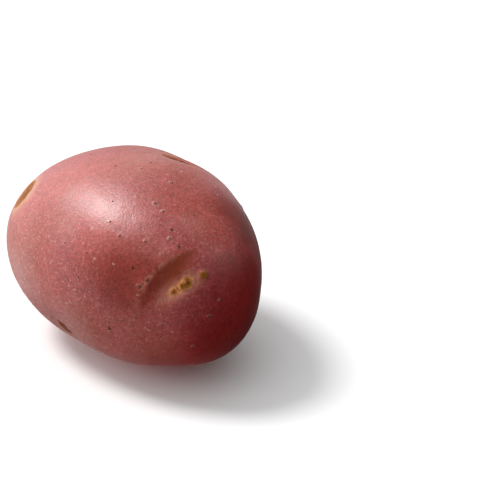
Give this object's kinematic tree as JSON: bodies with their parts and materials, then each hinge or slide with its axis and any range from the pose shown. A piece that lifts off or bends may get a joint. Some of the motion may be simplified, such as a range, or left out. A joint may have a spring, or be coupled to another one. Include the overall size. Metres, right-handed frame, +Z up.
{
  "type": "potato",
  "caption": "Whole red-skinned potato: an egg-like tuber with shallow browed eyes, a stem scar and a small flat spot to rest on.",
  "frame": {"origin": "centre of the bounding box's bottom face, on the plane the potato rests on", "axes": "+Z up, +X along the length toward the rose end, where the eyes crowd; the stem scar is at the -X end"},
  "size_m": [0.088, 0.066, 0.06],
  "materials": {
    "potato_skin": "dry rose-red potato skin with a soft sheen, fine dusty netting, pale-rimmed pores and brown eyes and stem scar"
  },
  "bodies": {
    "root": {"potato": "potato_skin"}
  },
  "joints": []
}
